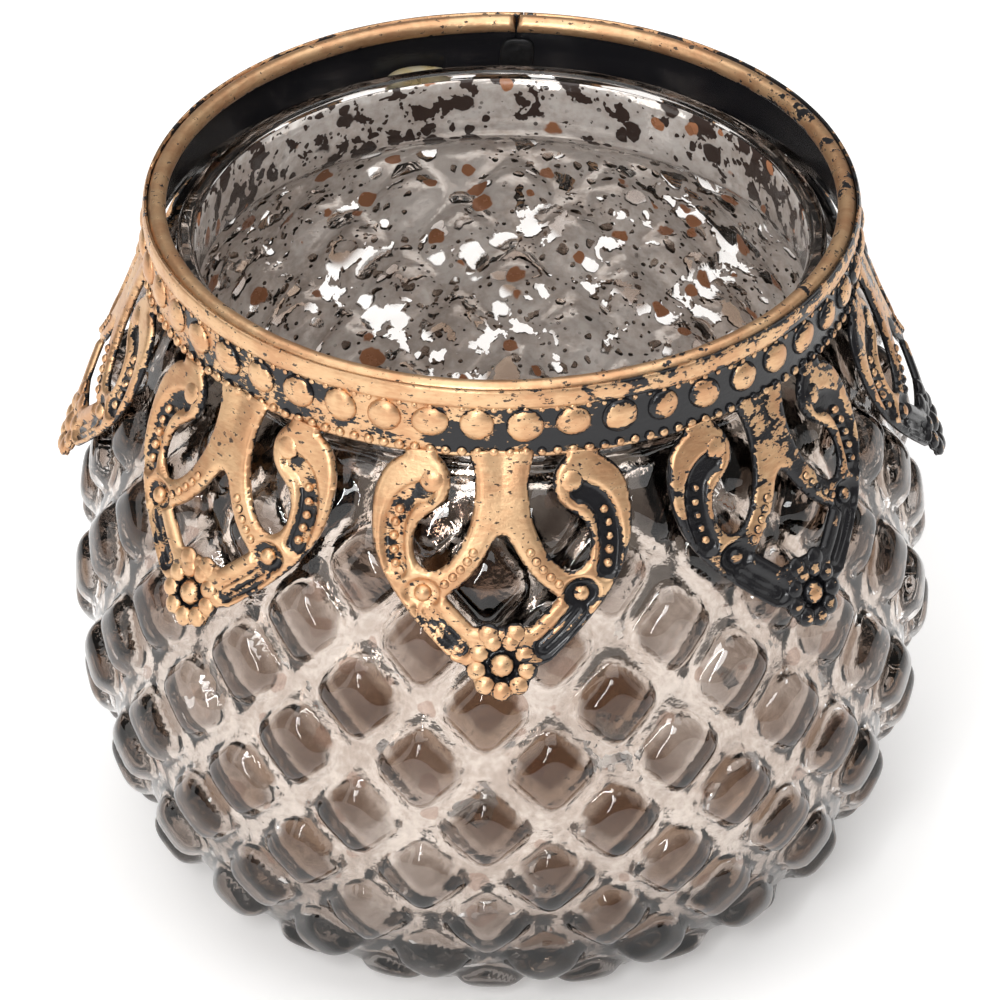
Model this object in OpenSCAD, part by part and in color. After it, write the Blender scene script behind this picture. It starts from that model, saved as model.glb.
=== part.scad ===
// Tealight holder: a bossed glass bowl, silvered inside, with a glued-on metal collar.
// The collar is a plain hoop with a curled rim, a beaded strip lapped round it, and eight
// pierced pendants that hang from the strip and lean out over the glass.
// Units are millimetres, +Z is up, and the origin is the centre of the foot.

/* [Glass bowl] */
// Diameter of the bowl over its bosses
bowl_d = 90.6; // [80:0.1:108.8]
// Height of the glass from its foot to its lip
bowl_h = 74.3; // [61.9:0.1:89.2]
// Height of the widest place above the foot
belly_h = 32; // [26:1:40]
// Diameter of the foot
foot_d = 55; // [45:1:66]
// Width of the flat ring that the foot stands on
foot_ring_w = 5; // [4:0.5:8]
// Depth of the hollow inside that ring
punt_h = 1.2; // [0.8:0.1:2]
// Inside diameter of the mouth
mouth_d = 63.8; // [53:0.1:70]
// Height of the straight neck above the shoulder
neck_h = 6.8; // [5.6:0.1:9]
// Glass thickness of the neck
neck_wall = 1.8; // [1.4:0.1:2.2]
// Glass thickness of the body between its bosses
body_wall = 2.4; // [2:0.1:3.2]
// Glass thickness of the floor
floor_t = 4.5; // [3.6:0.1:5.5]

/* [Bosses] */
// Bosses in one row
boss_count = 20; // [16:1:26]
// Rows of bosses, each half a pitch round from the next
boss_rows = 10; // [8:1:12]
// How far a boss stands out of the grooves
boss_h = 2; // [1.2:0.1:2.6]
// Distance from the edge of the foot to the lowest row, along the glass
boss_start = 6.4; // [5.4:0.1:7.6]
// Turn of the rows from the front
boss_turn = -2.2; // [-9:0.1:9]

/* [Silver lining] */
// Thickness of the silvering and its backing lacquer
lining_t = 0.2; // [0.15:0.05:0.3]
// Clear band that it leaves under the lip
lining_drop = 0.8; // [0.5:0.1:4]

/* [Collar] */
// Thickness of the sheet metal
sheet_t = 0.3; // [0.25:0.01:0.4]
// Gap between the neck and the hoop, which the glue fills
glue_gap = 2.6; // [2.1:0.1:3.2]
// How far the rim stands above the glass lip
rim_rise = 4.7; // [4:0.1:5.6]
// Radius of the curled rim
curl_r = 0.95; // [0.75:0.05:1.2]
// Height of the beaded strip
band_h = 8; // [7:0.1:9.6]
// Gap between the top of the strip and the top of the rim
band_drop = 0.3; // [0.2:0.1:1]
// Height of the smooth border along the top of the strip
border_h = 2.2; // [1.8:0.1:2.7]
// How far the border stands out
border_out = 0.3; // [0.2:0.05:0.4]
// Large beads round the strip
bead_count = 48; // [36:1:56]
// Diameter of a large bead
bead_d = 3.9; // [3:0.1:4.2]
// How far a large bead stands out
bead_out = 0.8; // [0.4:0.1:1]
// Radius of the ridge along the bottom of the strip
edge_r = 0.5; // [0.4:0.05:0.6]
// How far the strip reaches below the hoop
band_lap = 1; // [0.7:0.1:1.4]
// Width of the slit where the ends of the sheet meet
seam_w = 0.25; // [0.15:0.05:0.4]
// Turn of that slit from the back
seam_turn = 2.5; // [-10:0.5:10]

/* [Pendants] */
// Pendants round the strip
pendant_count = 8; // [6:1:10]
// Length of a pendant along its slope
pendant_l = 25.2; // [20:0.1:30]
// Gap between neighbours where they leave the strip
pendant_gap = 3; // [2.4:0.1:4]
// Least distance that they keep from the bosses
pendant_clear = 0.2; // [0.1:0.1:0.8]
// Petals of the rosette at the tip
petal_count = 9; // [6:1:12]
// Diameter of the rosette
rosette_d = 7.2; // [6:0.1:8.8]

/* [Solder and glue] */
// Length of a solder tack round the hoop
tack_l = 4; // [3:0.5:6]
// Height of a solder tack
tack_h = 0.7; // [0.5:0.1:0.7]
// Width of the solder patch behind the slit
patch_w = 4; // [3:0.5:6]
// Thickness of that patch
patch_t = 0.5; // [0.3:0.1:0.7]
// Length of a dab of glue round the neck
glue_l = 8.5; // [6:0.5:10]
// Height of a dab of glue
glue_h = 3; // [2.4:0.1:3.6]
// Distance of the glue below the lip
glue_drop = 0.6; // [0.4:0.1:1]

/* [Hidden] */
GLUE_TURNS = [20, 85, 195, 290]; // where the dabs sit, turned from the front
PENDANT_NODES = [for (i = [1:pendant_count]) str("pendant_", i)];
GLUE_NODES = [for (i = [1:len(GLUE_TURNS)]) str("glue_dab_", i)];

$fn = 96;
FRONT = -90; // the front faces -Y
CUT = 1; // how far a cutting solid runs past what it cuts
GRID = 6; // mesh steps from one boss to the next
LOWER_P = 1.8; // roundness of the body below the belly: 2 is an ellipse
UPPER_P = 1.6; // roundness of the body above it
CURVE_N = 24; // steps along each of the two body curves
LEDGE = 0.5; // flat ring where the neck leaves the body
CURL_GAP = 70; // degrees left open where the curl comes back to the wall
BOSS_SHARES = [1, 0.97, 0.78, 0]; // height of a boss at each mesh step from its centre
FADE = 1.5; // pitches over which the bosses die away below the neck
HEEL_FADE = 1.7; // and above the foot

belly_r = bowl_d / 2 - boss_h;
foot_r = foot_d / 2;
mouth_r = mouth_d / 2;
neck_r = mouth_r + neck_wall;
shoulder_z = bowl_h - neck_h;
shoulder_r = neck_r + LEDGE;
rim_z = bowl_h + rim_rise;

hoop_in = neck_r + glue_gap;
hoop_out = hoop_in + sheet_t;
curl_z = rim_z - curl_r;
band_out = hoop_out + sheet_t;
band_top = rim_z - band_drop;
band_z = band_top - band_h;
hoop_z = band_z + band_lap;
bead_z = band_top - border_h - bead_d / 2;

// Body outline: a quarter superellipse up to the belly and another up to the shoulder.
function lower_point(t) = [
    foot_r + (belly_r - foot_r) * pow(sin(t), 2 / LOWER_P),
    belly_h * (1 - pow(cos(t), 2 / LOWER_P))
];
function upper_point(t) = [
    shoulder_r + (belly_r - shoulder_r) * pow(cos(t), 2 / UPPER_P),
    belly_h + (shoulder_z - belly_h) * pow(sin(t), 2 / UPPER_P)
];
BODY = concat(
    [for (i = [0:CURVE_N]) lower_point(90 * i / CURVE_N)],
    [for (i = [1:CURVE_N]) upper_point(90 * i / CURVE_N)]
);

// Distance along the outline at each of its points.
function lengths(points, i = 1, found = [0]) =
    i == len(points)
        ? found
        : lengths(points, i + 1, concat(found, [found[i - 1] + norm(points[i] - points[i - 1])]));
ALONG = lengths(BODY);
BODY_LENGTH = ALONG[len(ALONG) - 1];
R_TABLE = [for (i = [0:len(BODY) - 1]) [ALONG[i], BODY[i][0]]];
Z_TABLE = [for (i = [0:len(BODY) - 1]) [ALONG[i], BODY[i][1]]];
function body_at(s) = [lookup(s, R_TABLE), lookup(s, Z_TABLE)];
function body_normal(s) =
    let (d = body_at(min(s + 1, BODY_LENGTH)) - body_at(max(s - 1, 0)))
        [d[1], -d[0]] / norm(d);

// The bosses stand on a mesh of rows and columns. Their centres are half of GRID apart both
// ways, and in every other row they move round by half a pitch.
STEP = GRID / 2;
MESH_ROWS = STEP * boss_rows + 2;
MESH_COLS = GRID * boss_count;
boss_pitch = STEP * (BODY_LENGTH - boss_start) / (MESH_ROWS - STEP);
function row_along(row) =
    row < STEP
        ? boss_start * row / STEP
        : boss_start + boss_pitch * (row - STEP) / STEP;

// How far a boss stands out at some distance along the glass.
function boss_out(s) =
    boss_h * min(1, s / (HEEL_FADE * boss_pitch), (BODY_LENGTH - s) / (FADE * boss_pitch));

// Mesh steps from a point to the nearest boss centre, counted along rows and columns.
function fold(n) = STEP - abs(n % GRID - STEP);
function steps_from_boss(col, row) =
    let (steps = fold(col) + fold(row + STEP))
        min(steps, GRID - steps);
function boss_share(col, row) = row == 0 ? 0 : BOSS_SHARES[steps_from_boss(col, row)];

// A boss over the heel is held above the foot: it never dips below half the height of the
// groove behind it.
function mesh_point(col, row) =
    let (
        s = row_along(row),
        groove = body_at(s),
        p = groove + body_normal(s) * boss_out(s) * boss_share(col, row),
        turn = FRONT + boss_turn + 360 * col / MESH_COLS
    )
        [p[0] * cos(turn), p[0] * sin(turn), max(p[1], groove[1] / 2)];

// Two triangles for one mesh square, split between the two corners that are level with each
// other, and along the groove where both pairs are level.
function square_faces(col, row) =
    let (
        a = row * MESH_COLS + col,
        b = row * MESH_COLS + (col + 1) % MESH_COLS,
        c = a + MESH_COLS,
        d = b + MESH_COLS,
        corner = steps_from_boss(col, row),
        sides = [steps_from_boss(col + 1, row), steps_from_boss(col, row + 1)],
        level = corner == steps_from_boss(col + 1, row + 1) && corner >= min(sides)
    )
        level ? [[a, c, d], [a, d, b]] : [[a, c, b], [b, c, d]];

module bossed_body() {
    points = [for (row = [0:MESH_ROWS]) for (col = [0:MESH_COLS - 1]) mesh_point(col, row)];
    sides = [
        for (row = [0:MESH_ROWS - 1])
            for (col = [0:MESH_COLS - 1])
                each square_faces(col, row)
    ];
    bottom = [for (col = [0:MESH_COLS - 1]) col];
    top = [for (col = [MESH_COLS - 1:-1:0]) MESH_ROWS * MESH_COLS + col];
    polyhedron(points = points, faces = concat([bottom], sides, [top]));
}

// Inside of the glass: a flat floor, the body outline moved in by the wall, and the neck. Each
// point is paired with the way to move it for a lining that lies on it.
INSIDE = [
    for (s = ALONG)
        let (n = body_normal(s), p = body_at(s) - n * body_wall)
            if (p[1] > floor_t && p[0] > mouth_r) [p, -n]
];
function inside_pairs(top) = concat(
    [[[0, floor_t], [0, 1]], [INSIDE[0][0] - [2 * body_wall, INSIDE[0][0][1] - floor_t], [0, 1]]],
    INSIDE,
    [[[mouth_r, INSIDE[len(INSIDE) - 1][0][1]], [-1, 0]], [[mouth_r, top], [-1, 0]]]
);

module glass_bowl() {
    color([0.86, 0.84, 0.82, 0.5])
        difference() {
            union() {
                bossed_body();
                translate([0, 0, shoulder_z - neck_h])
                    cylinder(r = neck_r, h = 2 * neck_h);
            }
            rotate_extrude()
                polygon(concat([for (q = inside_pairs(bowl_h + CUT)) q[0]], [[0, bowl_h + CUT]]));
            translate([0, 0, -CUT])
                cylinder(r = foot_r - foot_ring_w, h = punt_h + CUT);
        }
}

module silver_lining() {
    pairs = inside_pairs(bowl_h - lining_drop);
    back = [for (i = [len(pairs) - 1:-1:0]) pairs[i][0] + lining_t * pairs[i][1]];
    color("silver")
        rotate_extrude()
            polygon(concat([for (q = pairs) q[0]], back));
}

// A thin radial slab at the seam, which parts the ends of a hoop.
module seam_slit() {
    rotate([0, 0, -FRONT - seam_turn])
        translate([mouth_r, -seam_w / 2, 0])
            cube([band_out, seam_w, rim_z + CUT]);
}

module curl_outline() {
    translate([hoop_out - curl_r, curl_z])
        difference() {
            circle(r = curl_r);
            circle(r = curl_r - sheet_t);
            rotate(-90)
                polygon([[0, 0], [0, 2 * curl_r], [2 * curl_r * sin(CURL_GAP), 2 * curl_r]]);
        }
}

module rim_hoop() {
    color([0.72, 0.52, 0.32])
        difference() {
            rotate_extrude()
                union() {
                    translate([hoop_in, hoop_z])
                        square([sheet_t, curl_z - hoop_z]);
                    curl_outline();
                }
            seam_slit();
        }
}

// Radius of the round that stands out by some height on a chord of some width.
function dome_r(width, out) = (width * width / 4 + out * out) / (2 * out);

module band_outline() {
    border_r = dome_r(border_h, border_out);
    translate([hoop_out, band_z])
        square([sheet_t, band_h]);
    intersection() {
        translate([band_out + border_out - border_r, band_top - border_h / 2])
            circle(r = border_r);
        translate([hoop_out, band_top - border_h])
            square([2 * sheet_t + border_out, border_h]);
    }
    intersection() {
        translate([band_out, band_z + edge_r])
            circle(r = edge_r);
        translate([hoop_out, band_z])
            square([2 * sheet_t + edge_r, 2 * edge_r]);
    }
}

module beaded_band() {
    bead_r = dome_r(bead_d, bead_out);
    color([0.80, 0.60, 0.38])
        difference() {
            union() {
                rotate_extrude()
                    band_outline();
                for (i = [0:bead_count - 1])
                    rotate([0, 0, FRONT + 360 * (i + 0.5) / bead_count])
                        translate([band_out + bead_out - bead_r, 0, bead_z])
                            sphere(r = bead_r);
            }
            translate([0, 0, band_z - CUT])
                cylinder(r = hoop_out, h = band_h + 2 * CUT);
            seam_slit();
        }
}

// Slope of the pendants: the least lean that clears every boss below the strip.
function boss_reach(s) = body_at(s) + body_normal(s) * boss_out(s);
LEAN_STEPS = 60;
pendant_lean = max([
    for (i = [0:LEAN_STEPS])
        let (p = boss_reach(BODY_LENGTH * i / LEAN_STEPS))
            if (p[1] < band_z - boss_h && p[1] > band_z - pendant_l)
                atan2(p[0] + pendant_clear - hoop_out, band_z - p[1])
]);
pendant_w = 2 * PI * band_out / pendant_count - pendant_gap;

// Points of a cubic curve, without its last one.
CURVE_STEPS = 8;
function curve(a, b, c, d) = [
    for (i = [0:CURVE_STEPS - 1])
        let (t = i / CURVE_STEPS, u = 1 - t)
            u * u * u * a + 3 * u * u * t * b + 3 * u * t * t * c + t * t * t * d
];
function mirrored(points) = [for (i = [len(points) - 1:-1:0]) [-points[i][0], points[i][1]]];

// Right half of the pendant's outline and of its openings. x is a share of half the width,
// and y a share of the length, down from the strip.
SHIELD_HALF = concat(
    [[0.74, 0.05]],
    curve([0.74, 0], [0.93, -0.03], [1, -0.14], [1, -0.28]),
    curve([1, -0.28], [1, -0.47], [0.80, -0.62], [0.38, -0.84]),
    [[0.38, -0.84], [0.2, -0.88]]
);
SIDE_OPENING = concat(
    [[0.25, 0.03]],
    curve([0.25, 0], [0.19, -0.06], [0.19, -0.20], [0.255, -0.295]),
    curve([0.255, -0.295], [0.31, -0.38], [0.43, -0.476], [0.545, -0.476]),
    curve([0.545, -0.476], [0.70, -0.476], [0.73, -0.33], [0.62, -0.262]),
    curve([0.62, -0.262], [0.53, -0.225], [0.40, -0.20], [0.393, -0.115]),
    curve([0.393, -0.115], [0.39, -0.06], [0.44, -0.03], [0.49, 0]),
    [[0.49, 0], [0.49, 0.03]]
);
CENTRE_HALF = concat(
    curve([0, -0.32], [0.10, -0.32], [0.10, -0.47], [0.44, -0.58]),
    [[0.44, -0.58], [0.22, -0.70]]
);
ROSETTE_Y = -1 + rosette_d / 2 / pendant_l;

module scaled_outline(points) {
    polygon([for (p = points) [p[0] * pendant_w / 2, p[1] * pendant_l]]);
}

module rosette_outline() {
    petal_r = rosette_d / 2 * sin(180 / petal_count);
    translate([0, ROSETTE_Y * pendant_l]) {
        circle(r = rosette_d / 2 - petal_r);
        for (i = [0:petal_count - 1])
            rotate(90 + 360 * i / petal_count)
                translate([rosette_d / 2 - petal_r, 0])
                    circle(r = petal_r);
    }
}

module shield_outline() {
    difference() {
        scaled_outline(concat(SHIELD_HALF, mirrored(SHIELD_HALF)));
        scaled_outline(SIDE_OPENING);
        mirror([1, 0])
            scaled_outline(SIDE_OPENING);
        scaled_outline(concat(CENTRE_HALF, mirrored(CENTRE_HALF)));
    }
}

// A sheet-metal cone that leans out from the bottom of the strip.
module lean_cone() {
    drop = pendant_l * cos(pendant_lean);
    reach = pendant_l * sin(pendant_lean);
    rotate_extrude()
        polygon([
            [hoop_out, band_z],
            [hoop_out + sheet_t / cos(pendant_lean), band_z],
            [hoop_out + sheet_t / cos(pendant_lean) + reach, band_z - drop],
            [hoop_out + reach, band_z - drop]
        ]);
}

module pendant(i) {
    color([0.80, 0.60, 0.38])
        rotate([0, 0, 360 * (i - 1) / pendant_count])
            intersection() {
                lean_cone();
                translate([0, -hoop_out, band_z])
                    rotate([90 - pendant_lean, 0, 0])
                        translate([0, 0, -hoop_out / 2]) {
                            linear_extrude(height = hoop_out)
                                shield_outline();
                            linear_extrude(height = hoop_out + CUT)
                                rosette_outline();
                        }
            }
}

// Part of a ring round the Z axis, of a given length on its outside.
module ring_piece(r_in, r_out, z, height, length, turn) {
    span = 360 * length / (2 * PI * r_out);
    rotate([0, 0, FRONT + turn - span / 2])
        rotate_extrude(angle = span)
            translate([r_in, z])
                square([r_out - r_in, height]);
}

module hoop_seam_solder() {
    color([0.60, 0.60, 0.62])
        ring_piece(hoop_in - patch_t, hoop_in, hoop_z, curl_z - 2 * curl_r - hoop_z, patch_w, 180 - seam_turn);
}

module band_solder_tacks() {
    color([0.60, 0.60, 0.62])
        for (i = [0:pendant_count - 1])
            ring_piece(hoop_in, hoop_out, hoop_z - tack_h, tack_h, tack_l, 360 * (i + 0.5) / pendant_count);
}

module glue_dab(i) {
    color([0.92, 0.86, 0.62])
        ring_piece(neck_r, hoop_in, bowl_h - glue_drop - glue_h, glue_h, glue_l, GLUE_TURNS[i - 1]);
}

glass_bowl();
silver_lining();
rim_hoop();
beaded_band();
for (i = [1:pendant_count])
    pendant(i);
hoop_seam_solder();
band_solder_tacks();
for (i = [1:len(GLUE_TURNS)])
    glue_dab(i);
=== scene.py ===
import math

import bpy
import numpy as np
from bpy.props import FloatProperty, FloatVectorProperty, IntProperty, PointerProperty
from bpy.types import Operator, Panel, PropertyGroup
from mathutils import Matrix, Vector


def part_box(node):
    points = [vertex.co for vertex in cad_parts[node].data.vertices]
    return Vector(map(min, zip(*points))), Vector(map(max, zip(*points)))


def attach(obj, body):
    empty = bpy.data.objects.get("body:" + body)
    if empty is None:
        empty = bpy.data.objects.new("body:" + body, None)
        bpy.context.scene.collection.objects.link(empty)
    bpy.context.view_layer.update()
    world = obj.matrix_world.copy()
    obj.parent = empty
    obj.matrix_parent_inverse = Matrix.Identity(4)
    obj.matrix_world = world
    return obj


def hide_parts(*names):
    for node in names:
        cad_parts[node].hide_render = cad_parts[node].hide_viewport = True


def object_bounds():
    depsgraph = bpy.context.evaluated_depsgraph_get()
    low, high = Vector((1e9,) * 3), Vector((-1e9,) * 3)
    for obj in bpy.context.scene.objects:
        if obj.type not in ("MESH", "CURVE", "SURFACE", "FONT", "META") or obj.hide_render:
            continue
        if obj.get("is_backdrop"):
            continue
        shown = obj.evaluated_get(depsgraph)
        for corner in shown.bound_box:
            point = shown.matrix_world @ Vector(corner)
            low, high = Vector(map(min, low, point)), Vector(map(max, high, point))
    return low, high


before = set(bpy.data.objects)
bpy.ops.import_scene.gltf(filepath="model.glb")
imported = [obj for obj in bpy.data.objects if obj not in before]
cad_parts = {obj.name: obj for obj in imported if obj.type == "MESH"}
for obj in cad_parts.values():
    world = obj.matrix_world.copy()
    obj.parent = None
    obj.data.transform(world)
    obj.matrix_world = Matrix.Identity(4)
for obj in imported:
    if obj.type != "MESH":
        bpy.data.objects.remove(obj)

bl_info = {
    "name": "Silvered tealight holder",
    "version": (1, 0, 0),
    "blender": (4, 5, 0),
    "location": "3D View > Sidebar > Holder",
    "description": "Bossed glass bowl, silvered inside, with a beaded copper collar "
    "and eight pendants",
    "category": "Add Mesh",
}

CAD_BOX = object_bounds()
GLASS_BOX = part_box("glass_bowl")
HOOP_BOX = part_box("rim_hoop")
BAND_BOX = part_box("beaded_band")
DROP_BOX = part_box("pendant_1")
MM = 0.001
TAU = 2 * math.pi


# Sizes and colours.


def length(name, description, default):
    return FloatProperty(
        name=name, description=description, default=default, unit="LENGTH", subtype="DISTANCE"
    )


def colour(name, description, default):
    return FloatVectorProperty(
        name=name, description=description, default=default, subtype="COLOR", min=0, max=1
    )


class GlassSizes(PropertyGroup):
    foot_radius: length(
        "Foot radius", "Outer radius of the ring that the bowl stands on", 27.5 * MM
    )
    foot_ring: length("Foot ring", "Width of that ring", 5 * MM)
    punt: length("Punt", "Depth of the hollow inside the ring", 1.2 * MM)
    belly_radius: length("Belly radius", "Largest radius between the bosses", 43.3 * MM)
    belly_height: length("Belly height", "Height of the widest place", 32 * MM)
    lip_height: length("Lip height", "Height of the glass lip", GLASS_BOX[1][2])
    neck_height: length("Neck height", "Height of the straight neck", 6.8 * MM)
    mouth_radius: length("Mouth radius", "Inside radius of the neck", 31.9 * MM)
    neck_wall: length("Neck wall", "Glass thickness of the neck", 1.8 * MM)
    wall: length("Wall", "Glass thickness between the bosses", 2.4 * MM)
    floor: length("Floor", "Glass thickness of the floor", 4.5 * MM)
    bosses: IntProperty(name="Bosses", description="Bosses in one row", default=20, min=8, max=40)
    boss_height: length("Boss height", "How far a boss stands out", 2 * MM)
    first_row: length(
        "First row", "Distance of the lowest row from the foot, along the glass", 6.4 * MM
    )
    row_pitch: length("Row pitch", "Distance between rows, along the glass", 7.1355 * MM)
    turn: FloatProperty(
        name="Turn", description="Turn of the rows", default=math.radians(-2.2), subtype="ANGLE"
    )
    dimple: FloatProperty(
        name="Dimple",
        description="How much of a boss shows on the inside",
        default=0.45,
        min=0,
        max=1,
    )
    lining: length("Lining", "Thickness of the silver lining", 0.2 * MM)
    lining_drop: length("Lining drop", "Clear glass left under the lip", 0.8 * MM)


class CollarSizes(PropertyGroup):
    sheet: length("Sheet", "Thickness of the sheet metal", 0.3 * MM)
    hoop_radius: length("Hoop radius", "Outer radius of the hoop", HOOP_BOX[1][0])
    hoop_foot: length("Hoop foot", "Height of the hoop's lower edge", HOOP_BOX[0][2])
    rim_height: length("Rim height", "Height of the curled rim", HOOP_BOX[1][2])
    curl: length("Curl", "Radius of the curled rim", 0.95 * MM)
    band_foot: length("Band foot", "Height of the strip's lower edge", BAND_BOX[0][2])
    band_top: length("Band top", "Height of the strip's upper edge", BAND_BOX[1][2])
    border: length("Border", "Height of the smooth border", 2.2 * MM)
    domes: IntProperty(
        name="Domes", description="Large beads round the strip", default=48, min=12, max=96
    )
    dome_radius: length("Dome radius", "Radius of a large bead", 1.98 * MM)
    dome_out: length("Dome depth", "How far a large bead stands out", 0.85 * MM)
    pendants: IntProperty(
        name="Pendants", description="Pendants round the strip", default=8, min=4, max=12
    )
    drop: length("Pendant length", "Length of a pendant along its slope", 25.2 * MM)
    half_width: length("Pendant half width", "Half of its width", 12.99 * MM)
    relief: length("Relief", "Depth of the stamped pattern", 0.6 * MM)
    seam: FloatProperty(
        name="Seam",
        description="Turn of the seam from the back",
        default=math.radians(-2.5),
        subtype="ANGLE",
    )


class FinishColours(PropertyGroup):
    silver: colour("Silver", "Bright silvering", (0.92, 0.885, 0.85))
    smoke: colour("Smoke", "Aged silvering", (0.60, 0.53, 0.48))
    rust: colour("Rust", "Copper-brown flecks", (0.36, 0.155, 0.075))
    veil: colour("Veil", "Dulling of the silvering behind the glass", (0.68, 0.63, 0.595))
    tint: colour("Tint", "Smoky tint of the thick glass in the bosses", (0.145, 0.083, 0.05))
    copper: colour("Copper", "Dry-brushed copper", (0.58, 0.325, 0.175))
    gold: colour("Gold", "Lighter, yellower copper", (0.73, 0.48, 0.275))
    black: colour("Black", "Ground coat under the copper", (0.010, 0.010, 0.012))
    glue: colour("Glue", "Aged clear glue", (0.83, 0.68, 0.36))
    solder: colour("Solder", "Soft solder under the ground coat", (0.045, 0.045, 0.048))
    floor: colour("Floor", "Table top", (0.97, 0.97, 0.97))


# Node trees.


class Wire:
    """A socket that can be used in a Python expression."""

    def __init__(self, bench, socket):
        self.bench, self.socket = bench, socket

    def math(self, operation, *others):
        return self.bench.put(
            "ShaderNodeMath", {"operation": operation}, dict(enumerate((self,) + others))
        )

    def __add__(self, other):
        return self.math("ADD", other)

    def __sub__(self, other):
        return self.math("SUBTRACT", other)

    def __mul__(self, other):
        return self.math("MULTIPLY", other)

    def __truediv__(self, other):
        return self.math("DIVIDE", other)

    def __pow__(self, other):
        return self.math("POWER", other)

    def __rsub__(self, other):
        return self.bench.put("ShaderNodeMath", {"operation": "SUBTRACT"}, {0: other, 1: self})

    def __rtruediv__(self, other):
        return self.bench.put("ShaderNodeMath", {"operation": "DIVIDE"}, {0: other, 1: self})

    __radd__ = __add__
    __rmul__ = __mul__

    def __abs__(self):
        return self.math("ABSOLUTE")

    def length(self):
        return self.bench.put(
            "ShaderNodeVectorMath", {"operation": "LENGTH"}, {0: self}, out="Value"
        )

    def ramp(self, low, high):
        """0 at low, 1 at high, smooth between them."""
        return self.bench.put(
            "ShaderNodeMapRange",
            {"interpolation_type": "SMOOTHSTEP"},
            {"Value": self, "From Min": low, "From Max": high},
        )


class Bench:
    """Makes and links the nodes of one tree."""

    def __init__(self, tree):
        self.tree = tree

    def put(self, kind, settings=None, sockets=None, out=0):
        node = self.tree.nodes.new(kind)
        for name, value in (settings or {}).items():
            setattr(node, name, value)
        for key, value in (sockets or {}).items():
            if isinstance(key, int):
                socket = node.inputs[key]
            else:
                socket = next(
                    (s for s in node.inputs if s.identifier == key), None
                ) or node.inputs[key]
            if isinstance(value, Wire):
                self.tree.links.new(value.socket, socket)
            else:
                socket.default_value = value
        outputs = [s for s in node.outputs if s.enabled] if isinstance(out, int) else node.outputs
        return Wire(self, outputs[out]) if len(outputs) else None

    def mix(self, factor, a, b):
        colours = {"Factor_Float": factor, "A_Color": opaque(a), "B_Color": opaque(b)}
        return self.put("ShaderNodeMix", {"data_type": "RGBA"}, colours)

    def noise(self, where, scale, detail=2.0, rough=0.5, warp=0.0):
        sockets = {
            "Vector": where,
            "Scale": scale,
            "Detail": detail,
            "Roughness": rough,
            "Distortion": warp,
        }
        return self.put("ShaderNodeTexNoise", {}, sockets)

    def bump(self, height, distance, strength=1.0):
        return self.put(
            "ShaderNodeBump", {}, {"Height": height, "Distance": distance, "Strength": strength}
        )

    def place(self):
        return self.put("ShaderNodeTexCoord", out="Object")

    def attribute(self, name):
        return self.put("ShaderNodeAttribute", {"attribute_name": name}, out="Fac")

    def vector(self, operation, a, b=None, scale=None):
        sockets = {0: a, 1: b, "Scale": scale}
        sockets = {key: value for key, value in sockets.items() if value is not None}
        return self.put("ShaderNodeVectorMath", {"operation": operation}, sockets)

    def parts(self, vector):
        """The x, y and z of a vector."""
        node = self.put("ShaderNodeSeparateXYZ", {}, {"Vector": vector}).socket.node
        return [Wire(self, socket) for socket in node.outputs]

    def whole(self, x, y, z):
        return self.put("ShaderNodeCombineXYZ", {}, {0: x, 1: y, 2: z})


def opaque(value):
    return value if isinstance(value, Wire) or len(value) == 4 else (*value, 1.0)


def new_material(name):
    """An empty material, its bench and a function that sets its surface."""
    material = bpy.data.materials.new(name)
    material.use_nodes = True
    material.node_tree.nodes.clear()
    bench = Bench(material.node_tree)

    def surface(**sockets):
        names = {key.replace("_", " "): value for key, value in sockets.items()}
        shader = bench.put("ShaderNodeBsdfPrincipled", {}, names)
        bench.put("ShaderNodeOutputMaterial", {}, {"Surface": shader})
        return material

    return bench, surface


THIN_GLASS = (0.965, 0.945, 0.925)
# Painted shade: dark brown for the black collar and the shade seen through holes in the silvering
# near the neck.
BEHIND_HOLES = (0.035, 0.022, 0.018)


def clear_glass_material(c):
    """Clear glass, smokier where it is thick: in the bosses, the heel and the foot."""
    b, surface = new_material("clear pressed glass")
    where = b.place()
    ripple = b.noise(where, 150, 2.0)
    height = b.parts(where)[2]
    heel = height.ramp(24 * MM, 5 * MM) * 0.65
    foot = height.ramp(6 * MM, 2.5 * MM) * 0.8
    pooled = (b.attribute("boss") + (ripple - 0.5) * 0.4).ramp(0.15, 0.7)
    pooled = pooled.math("MAXIMUM", heel.math("MAXIMUM", foot))
    thick = pooled * (0.6 + 0.4 * b.noise(where, 38, 2.0).ramp(0.35, 0.6))
    return surface(
        Base_Color=b.mix(thick, THIN_GLASS, c.tint),
        Roughness=b.noise(where, 55, 3.0, 0.6).ramp(0.5, 0.8) * 0.015,
        IOR=1.5,
        Transmission_Weight=1.0,
        Normal=b.bump(ripple, 0.2 * MM, 0.2),
    )


def spots(b, where, scale, seed, share, small, large):
    """Round drops of mixed sizes: 1 inside them. About 'share' of the cells hold one."""
    shift = (seed * 0.13, seed * 0.07, seed * 0.19)
    moved = b.put("ShaderNodeMapping", {}, {"Vector": where, "Location": shift})
    sockets = {"Vector": moved, "Scale": scale, "Randomness": 1.0}
    cells = b.put("ShaderNodeTexVoronoi", {"feature": "F1"}, sockets)
    gap, tone = (Wire(b, cells.socket.node.outputs[name]) for name in ("Distance", "Color"))
    chance = b.put("ShaderNodeSeparateColor", {}, {"Color": tone}, out="Red")
    edge = (chance / share).math("MINIMUM", 1.0) * (large - small) + small
    held = chance.ramp(share, share + 0.001)
    return (gap / edge).ramp(1.08, 0.92) * (1.0 - held)


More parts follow.
